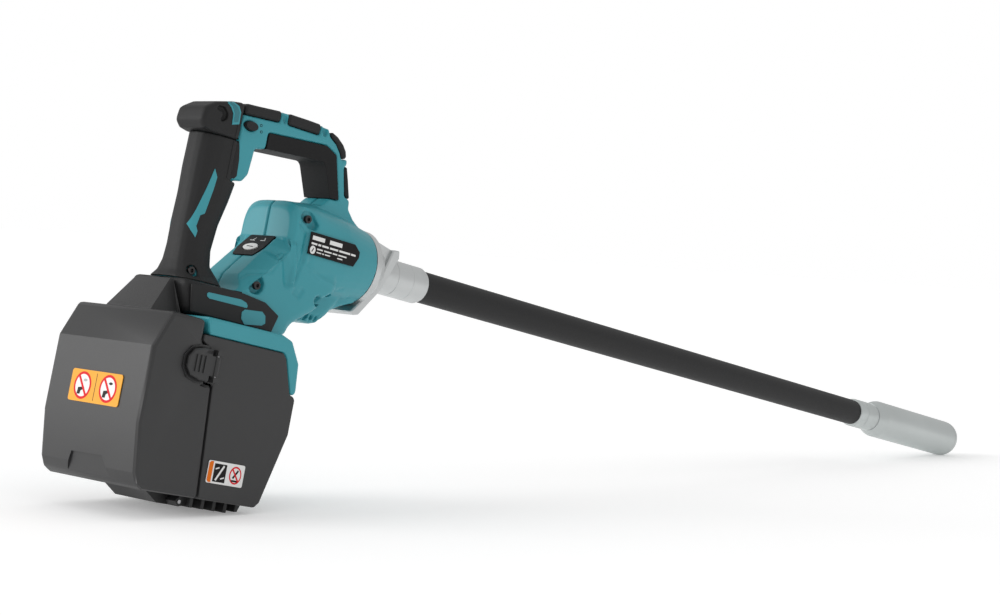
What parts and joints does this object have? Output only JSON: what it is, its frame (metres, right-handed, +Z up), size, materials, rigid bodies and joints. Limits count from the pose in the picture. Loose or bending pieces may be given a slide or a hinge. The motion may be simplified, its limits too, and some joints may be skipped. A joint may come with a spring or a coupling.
{
  "type": "concrete vibrator",
  "caption": "Cordless concrete vibrator: two-handed battery power unit with a hinged case, an aluminium nose, a rubber-covered flexible shaft and a steel vibrating head.",
  "frame": {"origin": "centre of the resting tool's bounding box, on the ground it lies on", "axes": "+X from the battery case towards the vibrating head, +Y to the user's left, +Z up; the shaft slopes down towards the head by 9.9 degrees"},
  "size_m": [1.2276, 0.1266, 0.3077],
  "materials": {
    "housing_teal": "satin moulded plastic, teal",
    "overmould_black": "fine-grained soft-touch overmould",
    "case_grey": "matt moulded plastic, dark grey",
    "hose_rubber": "smooth matt hose cover",
    "cast_aluminium": "satin cast and machined aluminium",
    "head_steel": "satin ground steel",
    "drive_steel": "machined steel",
    "screw_black_steel": "black oxide",
    "winding_copper": "lacquered copper windings on a steel core",
    "board_green": "potted circuit board",
    "switch_plastic": "moulded insulating plastic",
    "battery_black": "matt black moulded pack shell",
    "label_yellow": "satin yellow-orange film",
    "label_white": "satin white film",
    "plate_black": "semi-gloss black film",
    "mode_key_white": "satin white membrane key"
  },
  "bodies": {
    "tool": {"housing_left": "housing_teal", "housing_right": "housing_teal", "case_trim": "housing_teal", "rear_grip_sleeve": "overmould_black", "grip_cap": "overmould_black", "top_pad_rear": "overmould_black", "top_pad_front": "overmould_black", "corner_pad": "overmould_black", "leg_pad": "overmould_black", "soft_grip": "overmould_black", "base_cover_left": "overmould_black", "base_cover_right": "overmould_black", "battery_case": "case_grey", "rubber_hose": "hose_rubber", "nose_casting": "cast_aluminium", "coupling_sleeve": "cast_aluminium", "head_connector": "head_steel", "head_tube": "head_steel", "head_tip": "head_steel", "rear_bearing": "drive_steel", "front_bearing": "drive_steel", "head_bearing_rear": "drive_steel", "head_bearing_front": "drive_steel", "hinge_pin": "drive_steel", "latch_pin_left": "drive_steel", "latch_pin_right": "drive_steel", "screw_motor": "screw_black_steel", "screw_ramp": "screw_black_steel", "screw_chin": "screw_black_steel", "screw_grip_foot": "screw_black_steel", "motor_stator": "winding_copper", "controller_board": "board_green", "switch_unit": "switch_plastic", "terminal_block": "switch_plastic", "battery_pack": "battery_black", "side_label": "label_white", "rating_plate": "plate_black", "mode_panel": "plate_black"},
    "trigger": {"trigger": "overmould_black"},
    "lock_off_button": {"lock_off_button": "overmould_black"},
    "mode_button": {"mode_button": "mode_key_white"},
    "drive_line": {"rotor_shaft": "drive_steel", "cooling_fan": "switch_plastic", "flex_shaft_core": "drive_steel", "eccentric_weight": "drive_steel"},
    "lid": {"case_lid": "case_grey", "rear_label": "label_yellow"},
    "latch_left": {"latch_left": "case_grey"},
    "latch_right": {"latch_right": "case_grey"}
  },
  "joints": [
    {"name": "trigger_pull", "type": "slide", "parent": "tool", "child": "trigger", "axis": [-0.9852, 0, 0.1712], "range_m": [0, 0.006], "stiffness_N_per_m": 500, "springref_m": -0.01},
    {"name": "lock_off_slide", "type": "slide", "parent": "tool", "child": "lock_off_button", "axis": [0, 1, 0], "range_m": [0, 0.004]},
    {"name": "mode_press", "type": "slide", "parent": "tool", "child": "mode_button", "axis": [0.6006, 0, -0.7996], "range_m": [0, 0.0008], "stiffness_N_per_m": 500, "springref_m": -0.002},
    {"name": "drive_spin", "type": "hinge", "parent": "tool", "child": "drive_line", "pos_m": [-0.2854, 0, 0.17331], "axis": [0.9852, 0, -0.1712], "continuous": true},
    {"name": "lid_hinge", "type": "hinge", "parent": "tool", "child": "lid", "pos_m": [-0.55691, 0, 0.00979], "axis": [0, -1, 0], "range_deg": [0, 100]},
    {"name": "latch_left_hinge", "type": "hinge", "parent": "tool", "child": "latch_left", "pos_m": [-0.54857, 0.0607, 0.11096], "axis": [-0.1712, 0, -0.9852], "range_deg": [0, 70]},
    {"name": "latch_right_hinge", "type": "hinge", "parent": "tool", "child": "latch_right", "pos_m": [-0.54857, -0.0607, 0.11096], "axis": [0.1712, 0, 0.9852], "range_deg": [0, 70]}
  ]
}
